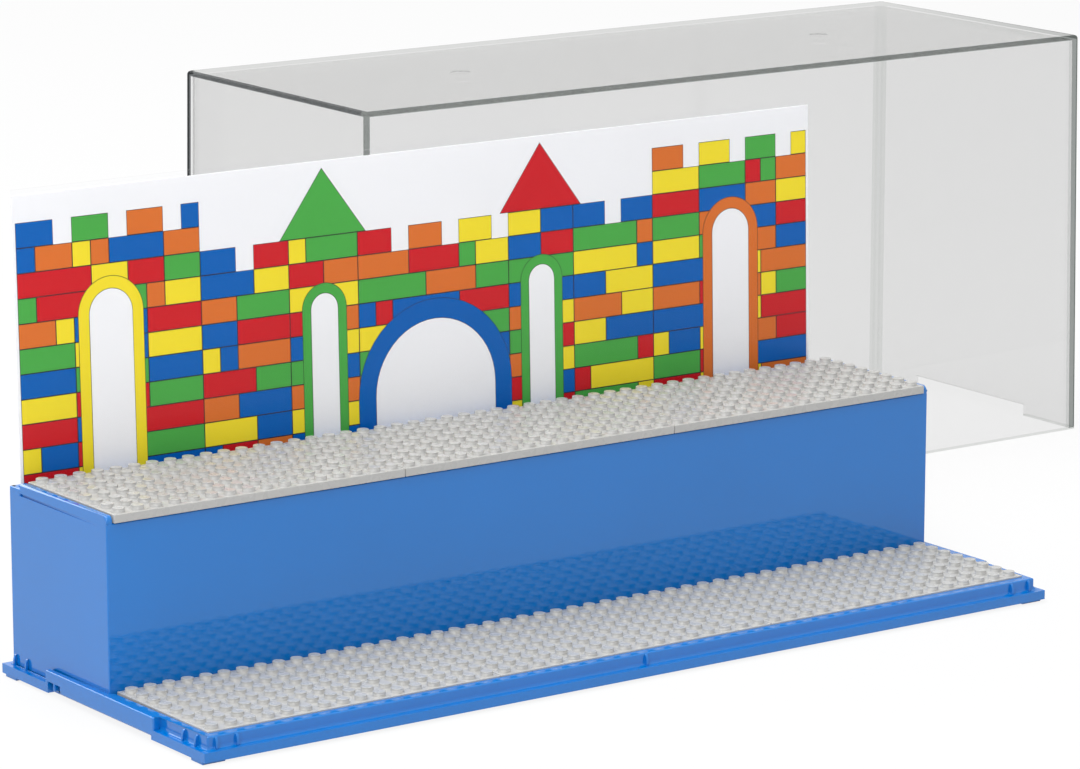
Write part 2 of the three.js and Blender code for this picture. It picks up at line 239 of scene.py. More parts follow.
# Nodes and moulded plastic

# Most of the noise lies between these two values
NOISE_LOW = 0.3
NOISE_HIGH = 0.7
# Patches and waves are counted in one metre
TONE_PATCHES = 14
GLOSS_PATCHES = 220
GLOSS_SPREAD = 0.15
COAT_ROUGHNESS = 0.05


def start_material(name):
    material = bpy.data.materials.new(name)
    material.use_nodes = True
    material.node_tree.nodes.clear()
    output = material.node_tree.nodes.new("ShaderNodeOutputMaterial")
    return material, material.node_tree, output


def add_node(tree, kind, **settings):
    node = tree.nodes.new(kind)
    for name, value in settings.items():
        setattr(node, name, value)
    return node


def add_math(tree, operation, first, second):
    node = add_node(tree, "ShaderNodeMath", operation=operation)
    for socket, value in zip(node.inputs, (first, second)):
        if isinstance(value, bpy.types.NodeSocket):
            tree.links.new(value, socket)
        else:
            socket.default_value = value
    return node.outputs[0]


def add_mix(tree, share, first, second):
    node = add_node(tree, "ShaderNodeMix", data_type="RGBA")
    tree.links.new(share, node.inputs["Factor"])
    for name, value in (("A", first), ("B", second)):
        if isinstance(value, bpy.types.NodeSocket):
            tree.links.new(value, node.inputs[name])
        else:
            node.inputs[name].default_value = [*value, 1]
    return node.outputs["Result"]


def add_noise(tree, scale):
    """Noise over the object's own metres, so scale counts features in one metre."""
    place = add_node(tree, "ShaderNodeTexCoord")
    noise = add_node(tree, "ShaderNodeTexNoise")
    noise.inputs["Scale"].default_value = scale
    tree.links.new(place.outputs["Object"], noise.inputs["Vector"])
    return noise.outputs["Fac"]


def add_range(tree, value, low, high):
    """A value of noise, stretched to lie between low and high."""
    node = add_node(tree, "ShaderNodeMapRange")
    node.inputs["From Min"].default_value = NOISE_LOW
    node.inputs["From Max"].default_value = NOISE_HIGH
    node.inputs["To Min"].default_value = low
    node.inputs["To Max"].default_value = high
    tree.links.new(value, node.inputs["Value"])
    return node.outputs["Result"]


def add_tone(tree, colour, spread):
    """The colour, lightened and darkened by up to spread in soft patches."""
    return add_mix(tree, add_range(tree, add_noise(tree, TONE_PATCHES), 0, 1),
                   [c * (1 - spread) for c in colour],
                   [min(c * (1 + spread), 1) for c in colour])


def add_gloss(tree, roughness, patches, spread):
    """The roughness, raised and lowered by up to spread in soft patches."""
    return add_range(tree, add_noise(tree, patches),
                     roughness * (1 - spread), roughness * (1 + spread))


def add_bump(tree, layers):
    """Bump of several layers of (features in one metre, height)."""
    normal = None
    for scale, height in layers:
        bump = add_node(tree, "ShaderNodeBump")
        bump.inputs["Strength"].default_value = 1
        bump.inputs["Distance"].default_value = height
        tree.links.new(add_noise(tree, scale), bump.inputs["Height"])
        if normal is not None:
            tree.links.new(normal, bump.inputs["Normal"])
        normal = bump.outputs["Normal"]
    return normal


def link_mix(tree, share, first, second, output):
    """Links a mix of two shaders to the output, with share of the second."""
    mix = add_node(tree, "ShaderNodeMixShader")
    tree.links.new(share, mix.inputs["Fac"])
    tree.links.new(first.outputs[0], mix.inputs[1])
    tree.links.new(second.outputs[0], mix.inputs[2])
    tree.links.new(mix.outputs[0], output.inputs["Surface"])


def make_plastic(name, colour, roughness, coat, spread, bumps, ior=1.5):
    """Opaque moulded plastic with soft patches of tone, gloss and waviness."""
    material, tree, output = start_material(name)
    shader = add_node(tree, "ShaderNodeBsdfPrincipled")
    shader.inputs["IOR"].default_value = ior
    shader.inputs["Coat Weight"].default_value = coat
    shader.inputs["Coat Roughness"].default_value = COAT_ROUGHNESS
    tree.links.new(add_tone(tree, colour, spread), shader.inputs["Base Color"])
    gloss = add_gloss(tree, roughness, GLOSS_PATCHES, GLOSS_SPREAD)
    tree.links.new(gloss, shader.inputs["Roughness"])
    tree.links.new(add_bump(tree, bumps), shader.inputs["Normal"])
    tree.links.new(shader.outputs["BSDF"], output.inputs["Surface"])
    return material


# Clear plastic

CLEAR_GLOSS_PATCHES = 60
CLEAR_GLOSS_SPREAD = 0.2
CLEAR_WAVES = [(18, 0.012 * MM)]
CLEAR_GRAZING_MIRROR = 0.9
CLEAR_MIRROR_POWER = 5
CLEAR_TINT_POWER = 3
COVER_DRAFT = 2 * MM
COVER_WALL = 2 * MM
# Height of the painted shade line along the cover's foot
FOOT_SHADE_LINE = 0.7 * MM
# Where the cover's painted dark edges begin, counted in walls from its outside
EDGE_REACH = 1.05
FAR_EDGE_REACH = 2.3
EDGE_FADE = 0.15
# How far the left end's painted shade reaches inwards, counted in walls past the draft
LEFT_SHADE_REACH = 2
# The share of the depth past which the left end's painted shade begins
LEFT_SHADE_START_SHARE = 0.04
# The share of its mirroring that an edge with painted shade loses
EDGE_CALM_SHARE = 0.85


def add_painted_shade_shares(tree, low, high, draft, wall):
    """Where painted shade goes on a box that narrows upwards by its draft: 1 in its rounded
    edges, else 0, then 1 at its left end, then 0 at its front to 1 at its back, then 1 at its
    foot."""
    place = add_node(tree, "ShaderNodeTexCoord")
    split = add_node(tree, "ShaderNodeSeparateXYZ")
    tree.links.new(place.outputs["Object"], split.inputs[0])
    lean = add_math(tree, "MULTIPLY", split.outputs["Z"], draft / (high.z - low.z))

    def near(value, half, leaning, reach=EDGE_REACH):
        if leaning:
            value = add_math(tree, "ADD", value, lean)
        node = add_node(tree, "ShaderNodeMapRange", interpolation_type="SMOOTHSTEP")
        node.inputs["From Min"].default_value = half - reach * wall
        node.inputs["From Max"].default_value = half - (reach - EDGE_FADE) * wall
        tree.links.new(value, node.inputs["Value"])
        return node.outputs["Result"]

    sides = []
    far_sides = []
    for axis, end in (("X", 0), ("Y", 1)):
        middle = (low[end] + high[end]) / 2
        half = (high[end] - low[end]) / 2
        offset = add_math(tree, "SUBTRACT", split.outputs[axis], middle)
        sides.append(near(add_math(tree, "ABSOLUTE", offset, 0.0), half, True))
        far_sides.append(near(offset, half, True, FAR_EDGE_REACH))
    top = near(split.outputs["Z"], high.z, False)
    corner = add_math(tree, "MULTIPLY", sides[0], sides[1])
    for side, far in zip(sides, reversed(far_sides)):
        corner = add_math(tree, "MAXIMUM", corner, add_math(tree, "MULTIPLY", side, far))
    upper = add_math(tree, "MULTIPLY", add_math(tree, "MAXIMUM", sides[0], sides[1]), top)
    depth = add_math(tree, "SUBTRACT", split.outputs["Y"], low.y)
    depth = add_math(tree, "DIVIDE", depth, high.y - low.y)
    # The left end's painted shade, behind a short share of the depth in front
    left_end = low.x + draft + LEFT_SHADE_REACH * wall
    left = add_math(tree, "LESS_THAN", split.outputs["X"], left_end)
    behind = add_math(tree, "GREATER_THAN", depth, LEFT_SHADE_START_SHARE)
    left = add_math(tree, "MULTIPLY", left, behind)
    # A thin painted shade line along the cover's foot
    foot = add_math(tree, "LESS_THAN", split.outputs["Z"], low.z + FOOT_SHADE_LINE)
    return add_math(tree, "MAXIMUM", corner, upper), left, depth, foot


def make_clear(name, tint, grazing_tint, roughness, least_mirror,
               painted_edge_shades=None, edge_box=None):
    """Clear plastic: it tints what is behind it and mirrors more at grazing angles.
    The painted edge shades are painted shade on its rounded edges, at the left, front and back,
    and the edge box holds the low and high corners, the draft and the wall of the box that has
    them."""
    material, tree, output = start_material(name)
    weight = add_node(tree, "ShaderNodeLayerWeight")
    facing = weight.outputs["Facing"]
    grazing = add_math(tree, "POWER", facing, CLEAR_MIRROR_POWER)
    grazing = add_math(tree, "MULTIPLY", grazing, CLEAR_GRAZING_MIRROR)
    share = add_math(tree, "ADD", grazing, least_mirror)

    through = add_node(tree, "ShaderNodeBsdfTransparent")
    grazing = add_math(tree, "POWER", facing, CLEAR_TINT_POWER)
    colour = add_mix(tree, grazing, tint, grazing_tint)
    # Painted shade on the rounded edges: from the front shade to the back shade in depth, the
    # left shade at the left end, and a thin painted shade line at the foot; these edges also
    # mirror less
    if painted_edge_shades is not None:
        painted_left_shade, painted_front_shade, painted_back_shade = painted_edge_shades
        edge, left, depth, foot = add_painted_shade_shares(tree, *edge_box)
        painted_shade_colour = add_mix(tree, depth, painted_front_shade, painted_back_shade)
        painted_shade_colour = add_mix(tree, left, painted_shade_colour, painted_left_shade)
        colour = add_mix(tree, edge, colour, painted_shade_colour)
        colour = add_mix(tree, foot, colour, painted_back_shade)
        calm = add_math(tree, "MULTIPLY", edge, -EDGE_CALM_SHARE)
        share = add_math(tree, "MULTIPLY", share, add_math(tree, "ADD", calm, 1.0))
    tree.links.new(colour, through.inputs["Color"])

    mirror = add_node(tree, "ShaderNodeBsdfAnisotropic")
    gloss = add_gloss(tree, roughness, CLEAR_GLOSS_PATCHES, CLEAR_GLOSS_SPREAD)
    tree.links.new(gloss, mirror.inputs["Roughness"])
    tree.links.new(add_bump(tree, CLEAR_WAVES), mirror.inputs["Normal"])

    link_mix(tree, share, through, mirror, output)
    return material


# Rays that see the pale studio

def seen_by_eye(tree):
    """1 for rays from the camera and for what gloss and clear plastic show, else 0."""
    path = add_node(tree, "ShaderNodeLightPath")
    share = add_math(tree, "MAXIMUM", path.outputs["Is Camera Ray"],
                     path.outputs["Is Glossy Ray"])
    return add_math(tree, "MAXIMUM", share, path.outputs["Is Transmission Ray"])


# Mesh helpers

SHARP_ANGLE = math.radians(40)


def link_mesh(name, bm, materials):
    mesh = bpy.data.meshes.new(name)
    bm.to_mesh(mesh)
    bm.free()
    piece = bpy.data.objects.new(name, mesh)
    bpy.context.scene.collection.objects.link(piece)
    for material in materials:
        mesh.materials.append(material)
    return piece


def set_material(node, material):
    node.data.materials.clear()
    node.data.materials.append(material)


def shade_by_angle(bm):
    """Smooth faces that part only at the sharp edges."""
    for face in bm.faces:
        face.smooth = True
    for edge in bm.edges:
        if len(edge.link_faces) == 2:
            edge.smooth = edge.calc_face_angle() < SHARP_ANGLE


def weight_normals(piece, keep_sharp):
    normals = piece.modifiers.new("Smooth edges", "WEIGHTED_NORMAL")
    normals.keep_sharp = keep_sharp


# Moulded tray

FOOT_HEIGHT = 1.2 * MM
LEDGE_TOP = 4.9 * MM
LEDGE_CEILING = 3.1 * MM
TRAY_FLOOR = 6.8 * MM
LEDGE_WIDTH = 3.1 * MM
SKIRT_WIDTH = 1.6 * MM
SIDE_RIM = 2.4 * MM
FRONT_RIM = 3.7 * MM
RECESS_DEPTH = 64.3 * MM
RISER_GAP = 0.3 * MM
RISER_FRONT_GAP = 0.5 * MM
GRIP_FRONT = -37.9 * MM
GRIP_BACK = 40.7 * MM
GRIP_BOTTOM = 2.7 * MM
GRIP_FRONT_POST = 1.6 * MM
GRIP_REAR_POST = 2.1 * MM
WINDOW_LENGTH = 8.7 * MM
WINDOW_TOP = 5.7 * MM
WINDOW_DEPTH = 2.7 * MM
WINDOW_RIB = 1.4 * MM
FIN_WIDTH = 1.0 * MM
FIN_DEPTH = 1.3 * MM
FIN_EDGE = 1.2 * MM
FIN_HEIGHT = 4.3 * MM
FIN_SPACING = 8.8 * MM
FIN_STEPS = 6
FIN_TIP = 0.05 * MM
FIN_FRONT_INSET = 3.4 * MM
FIN_SIDE_FRONT_INSET = 6.6 * MM
FIN_SIDE_BACK_INSET = 2.6 * MM
FOOT_LENGTH = 10 * MM
FOOT_INSET = 2 * MM
FOOT_SIDE_INSET = 0.3 * MM
FOOT_RADIUS = 0.3 * MM
RIB_WIDTH = 1.4 * MM
RIB_BOTTOM = 1.6 * MM
CROSS_RIBS = 5
FRONT_RIB_SETBACK = 32.2 * MM
BEAD_WIDTH = 0.6 * MM
BEAD_HEIGHT = 0.3 * MM
BEAD_RADIUS = 0.15 * MM
WALL_FILLET = 1.3 * MM
FILLET_STEPS = 4
POST_RADIUS_SHARE = 0.7
ROUND_SEGMENTS = 3
ROUND_PROFILE = 0.5
CORNER_TURN = 0.5
# What stands on another form is sunk into it by one of these
ROOT = 0.1 * MM
RIM_ROOT = 0.2 * MM
FLOOR_ROOT = 0.3 * MM
SLIVER = 0.01 * MM


def rectangle(x0, x1, y0, y1):
    return [(x0, y0), (x1, y0), (x1, y1), (x0, y1)]


def mirrored(outline):
    """The same outline on the other side of the Y axis, still anticlockwise."""
    return [(-x, y) for x, y in reversed(outline)]


def is_corner(outline, i):
    """True where an anticlockwise outline turns sharply outwards."""
    here = Vector(outline[i])
    before = (here - Vector(outline[i - 1])).normalized()
    after = (Vector(outline[(i + 1) % len(outline)]) - here).normalized()
    return before.cross(after) > CORNER_TURN


def add_prism(bm, outline, low, high, radius=0, top=True, bottom=False, hollow=None,
              matrix=None, plain=()):
    """Adds an upright prism over an anticlockwise outline, with its edges rounded.
    Where hollow is a height, the prism is a shell from below up to that height.
    Plain lists the sides of the outline that keep a sharp edge above and below."""
    part = bmesh.new()
    lower = [part.verts.new((x, y, low)) for x, y in outline]
    upper = [part.verts.new((x, y, high)) for x, y in outline]
    base = part.faces.new(list(reversed(lower)))
    part.faces.new(upper)
    count = len(outline)
    for i in range(count):
        j = (i + 1) % count
        part.faces.new((lower[i], lower[j], upper[j], upper[i]))
    rounded = [part.edges.get((lower[i], upper[i])) for i in range(count)
               if is_corner(outline, i)]
    for ring, wanted in ((upper, top), (lower, bottom)):
        if wanted:
            rounded += [part.edges.get((ring[i], ring[(i + 1) % count])) for i in range(count)
                        if i not in plain]
    if hollow is not None:
        for width in (SKIRT_WIDTH, SLIVER):
            bmesh.ops.inset_region(part, faces=[base], thickness=width, use_even_offset=True)
        bmesh.ops.translate(part, verts=list(base.verts), vec=(0, 0, hollow - low))
    if radius:
        bmesh.ops.bevel(part, geom=rounded, offset=radius, segments=ROUND_SEGMENTS,
                        profile=ROUND_PROFILE, affect="EDGES", clamp_overlap=True)
    if matrix is not None:
        part.transform(matrix)
    bmesh.ops.recalc_face_normals(part, faces=part.faces)
    carrier = bpy.data.meshes.new("carrier")
    part.to_mesh(carrier)
    part.free()
    bm.from_mesh(carrier)
    bpy.data.meshes.remove(carrier)


def add_pair(bm, outline, *sizes, **options):
    add_prism(bm, outline, *sizes, **options)
    add_prism(bm, mirrored(outline), *sizes, **options)


def add_wall_fillet(bm, path, radius):
    """A hollow rounding at the foot of a wall, along a path of (x, y, outward x, outward y)."""
    section = [(0, 0)]
    for step in range(FILLET_STEPS + 1):
        angle = math.pi / 2 * step / FILLET_STEPS
        section.append((radius * (1 - math.sin(angle)), radius * (1 - math.cos(angle))))
    rings = [[bm.verts.new((x + out_x * run, y + out_y * run, LEDGE_TOP + rise))
              for run, rise in section] for x, y, out_x, out_y in path]
    made = [bm.faces.new(rings[0]), bm.faces.new(list(reversed(rings[-1])))]
    for ring, after in zip(rings, rings[1:]):
        for i in range(len(section)):
            j = (i + 1) % len(section)
            made.append(bm.faces.new((ring[i], after[i], after[j], ring[j])))
    bmesh.ops.recalc_face_normals(bm, faces=made)


def add_fins(bm, rim_x, rim_y):
    """Fins that guide the cover: rooted in the rim in front, clear of the riser behind."""
    def fin(start, matrix):
        outline = [(start, -SLIVER), (FIN_DEPTH, -SLIVER)]
        for step in range(FIN_STEPS + 1):
            angle = math.pi / 2 * step / FIN_STEPS
            outline.append((start + (FIN_DEPTH - start) * math.cos(angle),
                            FIN_EDGE + (FIN_HEIGHT - FIN_EDGE) * math.sin(angle)))
        outline[-1] = (start + FIN_TIP, outline[-1][1])
        outline.append((start, outline[-1][1] - FIN_TIP))
        place = matrix @ Matrix(((1, 0, 0, 0), (0, 0, 1, 0), (0, 1, 0, 0), (0, 0, 0, 1)))
        add_prism(bm, outline, -FIN_WIDTH / 2, FIN_WIDTH / 2, matrix=place)

    def stand(x, y, degrees):
        return (Matrix.Translation((x, y, LEDGE_TOP))
                @ Matrix.Rotation(math.radians(degrees), 4, "Z"))

    fronts = [0]
    for step in (0, 1):
        x = rim_x - FIN_FRONT_INSET - step * FIN_SPACING
        fronts += [x, -x]
    for x in fronts:
        fin(-ROOT, stand(x, -rim_y, -90))
        fin(RISER_GAP, stand(x, rim_y, 90))
    for step in (0, 1):
        for start, y in ((-ROOT, FIN_SIDE_FRONT_INSET + step * FIN_SPACING - rim_y),
                         (RISER_GAP, rim_y - FIN_SIDE_BACK_INSET - step * FIN_SPACING)):
            fin(start, stand(rim_x, y, 0))
            fin(start, stand(-rim_x, y, 180))


def build_tray(name, low, high, radius, material):
    """The moulded tray about the middle of its own footprint."""
    bm = bmesh.new()
    half_x = (high.x - low.x) / 2
    half_y = (high.y - low.y) / 2
    top = high.z
    rim_x = half_x - LEDGE_WIDTH
    rim_y = half_y - LEDGE_WIDTH
    recess_x = rim_x - SIDE_RIM
    recess_y = FRONT_RIM - rim_y
    rim_back = recess_y + RECESS_DEPTH + RISER_FRONT_GAP - RISER_GAP
    face = half_x - SLIVER
    seat = rim_x + RISER_GAP
    cut_front = GRIP_FRONT + GRIP_FRONT_POST
    cut_back = GRIP_BACK - GRIP_REAR_POST
    wall = half_x - WINDOW_DEPTH

    right = [(half_x, -half_y), (half_x, cut_front), (wall, cut_front), (wall, cut_back),
             (half_x, cut_back), (half_x, half_y)]
    add_prism(bm, right + mirrored(right), FOOT_HEIGHT, LEDGE_TOP, radius, bottom=True,
              hollow=LEDGE_CEILING)

    right = [(rim_x, -rim_y), (rim_x, GRIP_FRONT), (face, GRIP_FRONT), (face, GRIP_BACK),
             (seat, GRIP_BACK), (seat, rim_back), (recess_x, rim_back), (recess_x, recess_y)]
    add_prism(bm, right + mirrored(right), WINDOW_TOP, top, radius)
    right = [(rim_x, -rim_y), (rim_x, rim_back), (recess_x, rim_back), (recess_x, recess_y)]
    add_prism(bm, right + mirrored(right), LEDGE_TOP - RIM_ROOT, WINDOW_TOP, radius, top=False)
    add_prism(bm, rectangle(-recess_x - SLIVER, recess_x + SLIVER, recess_y - SLIVER, rim_back),
              LEDGE_TOP - FLOOR_ROOT, TRAY_FLOOR)

    window_start = cut_back - WINDOW_LENGTH
    window = (WINDOW_LENGTH - WINDOW_RIB) / 2
    for y0, y1 in ((GRIP_FRONT, window_start),
                   (window_start + window, window_start + window + WINDOW_RIB),
                   (cut_back + SLIVER, GRIP_BACK)):
        add_pair(bm, rectangle(seat, face, y0, y1), GRIP_BOTTOM, WINDOW_TOP,
                 radius * POST_RADIUS_SHARE, top=False, bottom=True)
    add_pair(bm, rectangle(rim_x - SLIVER, seat + SLIVER, GRIP_FRONT + SLIVER, rim_back),
             LEDGE_TOP - ROOT, WINDOW_TOP)
    add_pair(bm, rectangle(seat, wall, window_start, cut_back), LEDGE_CEILING, WINDOW_TOP)
    add_pair(bm, rectangle(seat, seat + BEAD_WIDTH, GRIP_BACK - SLIVER, rim_y + RISER_GAP),
             LEDGE_TOP - ROOT, LEDGE_TOP + BEAD_HEIGHT, BEAD_RADIUS)

    add_wall_fillet(bm, ((-rim_x, GRIP_FRONT, -1, 0), (-rim_x, -rim_y, -1, -1),
                         (rim_x, -rim_y, 1, -1), (rim_x, GRIP_FRONT, 1, 0)), WALL_FILLET)
    add_fins(bm, rim_x, rim_y)

    inner_x = half_x - SKIRT_WIDTH
    inner_y = half_y - SKIRT_WIDTH
    corner_x = half_x - FOOT_LENGTH
    corner_y = half_y - FOOT_LENGTH
    for y0, y1 in ((-half_y, -corner_y), (corner_y, half_y)):
        foot = (max(y0, FOOT_INSET - half_y), min(y1, half_y - FOOT_INSET))
        add_pair(bm, rectangle(corner_x, half_x - FOOT_SIDE_INSET, *foot), 0,
                 FOOT_HEIGHT + ROOT, FOOT_RADIUS, top=False, bottom=True)
        block = (max(y0, -inner_y - SLIVER), min(y1, inner_y + SLIVER))
        add_pair(bm, rectangle(corner_x, inner_x + SLIVER, *block),
                 FOOT_HEIGHT + SLIVER, LEDGE_CEILING + SLIVER)
    for rib in range(1, CROSS_RIBS + 1):
        x = -inner_x + rib * 2 * inner_x / (CROSS_RIBS + 1)
        add_prism(bm, rectangle(x - RIB_WIDTH / 2, x + RIB_WIDTH / 2, -inner_y, inner_y),
                  RIB_BOTTOM, LEDGE_CEILING + SLIVER)
    riser_front = rim_back + RISER_GAP
    for y in (rim_back - FRONT_RIB_SETBACK, riser_front, (riser_front + rim_y) / 2):
        add_prism(bm, rectangle(-wall, wall, y - RIB_WIDTH / 2, y + RIB_WIDTH / 2),
                  RIB_BOTTOM - SLIVER, LEDGE_CEILING + SLIVER)

    shade_by_angle(bm)
    piece = link_mesh(name, bm, [material])
    weight_normals(piece, keep_sharp=True)
    return piece


# Moulded riser box

LIP_RISE = 3 * MM
LIP_LENGTH = 64 * MM
LIP_FRONT_RADIUS = 2 * MM
LIP_OUTER_RADIUS = 0.8 * MM
LIP_SIDES = 5
LIP_FOOT_GAP = 0.1 * MM
END_WALL_RISE = 0.7 * MM
RISER_WALL = 2 * MM
RISER_END_WALL = 2.4 * MM
RISER_REAR_WALL = 2.8 * MM
RISER_FLOOR = 1.8 * MM
SHELF_REACH = 64.3 * MM
LID_SHELF_DEPTH = 2.9 * MM
LID_SHELF_THICKNESS = 2 * MM
SLOT_FLOOR = 36.7 * MM
GROOVE_TOP = 0.8 * MM
GROOVE_BOTTOM = 1.8 * MM
GROOVE_DEPTH = 0.8 * MM
GROOVE_SETBACK = 5.2 * MM
INNER_RADIUS_SHARE = 0.5
BINS = 3


def add_lips(bm, half_x, top, radius):
    """The lips beside the lids, rounded in front and on their outer edges."""
    foot = LIP_FOOT_GAP - GROOVE_TOP
    outline = [(SLIVER, foot), (LIP_LENGTH, foot), (LIP_LENGTH, LIP_RISE)]
    for step in range(LIP_SIDES + 1):
        angle = math.pi / 2 * (1 + step / LIP_SIDES)
        outline.append((SLIVER + LIP_FRONT_RADIUS * (1 + math.cos(angle)),
                        LIP_RISE - LIP_FRONT_RADIUS * (1 - math.sin(angle))))
    for side in (1, -1):
        turn = Matrix(((0, 0, side, 0), (1, 0, 0, 0), (0, 1, 0, top), (0, 0, 0, 1)))
        add_prism(bm, outline, half_x - SIDE_RIM, half_x - SLIVER, radius, matrix=turn,
                  plain=(0, 1))


def build_riser(name, low, high, radius, material):
    """The moulded riser box: its long middle at x 0, its front at y 0, heights as in place."""
    bm = bmesh.new()
    half_x = (high.x - low.x) / 2
    depth = high.y - low.y
    bottom = low.z
    top = high.z - LIP_RISE
    inner = half_x - RISER_END_WALL
    back = depth - RISER_REAR_WALL
    slot_front = SHELF_REACH + RISER_WALL
    inner_radius = radius * INNER_RADIUS_SHARE

    add_prism(bm, rectangle(SLIVER - half_x, half_x - SLIVER, 0, RISER_WALL), bottom, top, radius)
    whole = rectangle(inner, half_x, SLIVER, depth - SLIVER)
    grooved = [(inner, SLIVER), (half_x, SLIVER), (half_x, GROOVE_SETBACK),
               (half_x - GROOVE_DEPTH, LIP_LENGTH), (half_x, LIP_LENGTH),
               (half_x, depth - SLIVER), (inner, depth - SLIVER)]
    add_pair(bm, whole, bottom, top - GROOVE_BOTTOM, radius=radius, top=False)
    add_pair(bm, grooved, top - GROOVE_BOTTOM - SLIVER, top - GROOVE_TOP + SLIVER,
             radius=radius, top=False)
    add_pair(bm, whole, top - GROOVE_TOP, top, radius=radius)
    add_pair(bm, rectangle(inner + SLIVER, half_x - SLIVER, LIP_LENGTH - SLIVER,
                           depth - 2 * SLIVER),
             top - GROOVE_TOP, top + END_WALL_RISE, radius=radius)
    add_lips(bm, half_x, top, LIP_OUTER_RADIUS)

    add_prism(bm, rectangle(3 * SLIVER - half_x, half_x - 3 * SLIVER, back, depth), bottom,
              top + END_WALL_RISE, radius)
    add_prism(bm, rectangle(-inner - SLIVER, inner + SLIVER, RISER_WALL - SLIVER, SHELF_REACH),
              bottom, bottom + RISER_FLOOR)
    add_prism(bm, rectangle(-inner - SLIVER, inner + SLIVER, SHELF_REACH, slot_front),
              bottom, top, radius)
    add_prism(bm, rectangle(-inner - SLIVER, inner + SLIVER, SHELF_REACH - LID_SHELF_DEPTH,
                            SHELF_REACH + RISER_WALL / 2),
              top - LID_SHELF_THICKNESS, top - SLIVER, inner_radius)
    add_prism(bm, rectangle(-inner - SLIVER, inner + SLIVER, slot_front - SLIVER, back + SLIVER),
              SLOT_FLOOR - RISER_FLOOR, SLOT_FLOOR)
    pitch = (2 * inner + RISER_WALL) / BINS
    for divider in range(1, BINS):
        x = divider * pitch - inner - RISER_WALL
        add_prism(bm, rectangle(x, x + RISER_WALL, RISER_WALL / 2, SHELF_REACH + RISER_WALL / 2),
                  bottom + RISER_FLOOR / 2, top - 2 * SLIVER, inner_radius)

    shade_by_angle(bm)
    piece = link_mesh(name, bm, [material])
    weight_normals(piece, keep_sharp=True)
    return piece


# Stud plates

STUD_PITCH = 8 * MM
STUD_COLUMNS = 16
STUD_ROWS = 8
STUD_SIDES = 32
POCKET_COLUMNS = 3
POCKET_ROWS = 2
PLATE_RIB = 1.5 * MM
PLATE_SKIN = 1.5 * MM
PLATE_ROUND_SEGMENTS = 2


def grid_lines(half, count):
    """The lines between the studs, with the plate's own edges as the outer ones."""
    lines = [(i - count / 2) * STUD_PITCH for i in range(count + 1)]
    lines[0] = -half
    lines[-1] = half
    return lines


def pocket_lines(half, count):
    """The edges of the ribs and pockets below a plate, from one side to the other."""
    pitch = (2 * half - PLATE_RIB) / count
    lines = []
    for i in range(count + 1):
        start = -half + i * pitch
        lines += [start, start + PLATE_RIB]
    lines[-1] = half
    return lines


def add_stud(bm, corners, x, y, top, settings):
    """One stud and the square of plate round it, whose corners run anticlockwise."""
    radius = settings.stud_diameter / 2
    edge = settings.edge_radius
    height = settings.stud_height
    slope = 1 - math.sqrt(0.5)
    profile = [
        (radius, 0),
        (radius, height - edge),
        (radius - edge * slope, height - edge * slope),
        (radius - edge, height),
    ]
    rings = []
    for ring_radius, rise in profile:
        ring = []
        for side in range(STUD_SIDES):
            angle = 2 * math.pi * side / STUD_SIDES
            ring.append(bm.verts.new((
                x + ring_radius * math.cos(angle),
                y + ring_radius * math.sin(angle),
                top + rise)))
        rings.append(ring)
    for lower, upper in zip(rings, rings[1:]):
        for side in range(STUD_SIDES):
            after = (side + 1) % STUD_SIDES
            bm.faces.new((lower[side], lower[after], upper[after], upper[side]))
    bm.faces.new(rings[-1])

    quarter = STUD_SIDES // 4
    base = rings[0]
    for k in range(4):
        arc = [base[(k * quarter + i) % STUD_SIDES] for i in range(quarter, -1, -1)]
        bm.faces.new((corners[k], *arc))
        bm.faces.new((corners[k], corners[(k + 1) % 4], arc[0]))


def add_underside(bm, xs, ys, bottom, ceiling):
    """Ribs and pockets below a plate. Returns the outermost points by their place."""
    points = {}

    def point(i, j, z):
        key = (i, j, z)
        if key not in points:
            points[key] = bm.verts.new((xs[i], ys[j], z))
        return points[key]

    def level(i, j):
        inside = 0 <= i < len(xs) - 1 and 0 <= j < len(ys) - 1
        return ceiling if inside and i % 2 and j % 2 else bottom

    for i in range(len(xs) - 1):
        for j in range(len(ys) - 1):
            z = level(i, j)
            bm.faces.new((point(i, j, z), point(i, j + 1, z),
                          point(i + 1, j + 1, z), point(i + 1, j, z)))
            if z == ceiling:
                for (a, b), (c, d) in (((i, j), (i + 1, j)), ((i + 1, j), (i + 1, j + 1)),
                                       ((i + 1, j + 1), (i, j + 1)), ((i, j + 1), (i, j))):
                    bm.faces.new((point(a, b, bottom), point(a, b, ceiling),
                                  point(c, d, ceiling), point(c, d, bottom)))
    return points


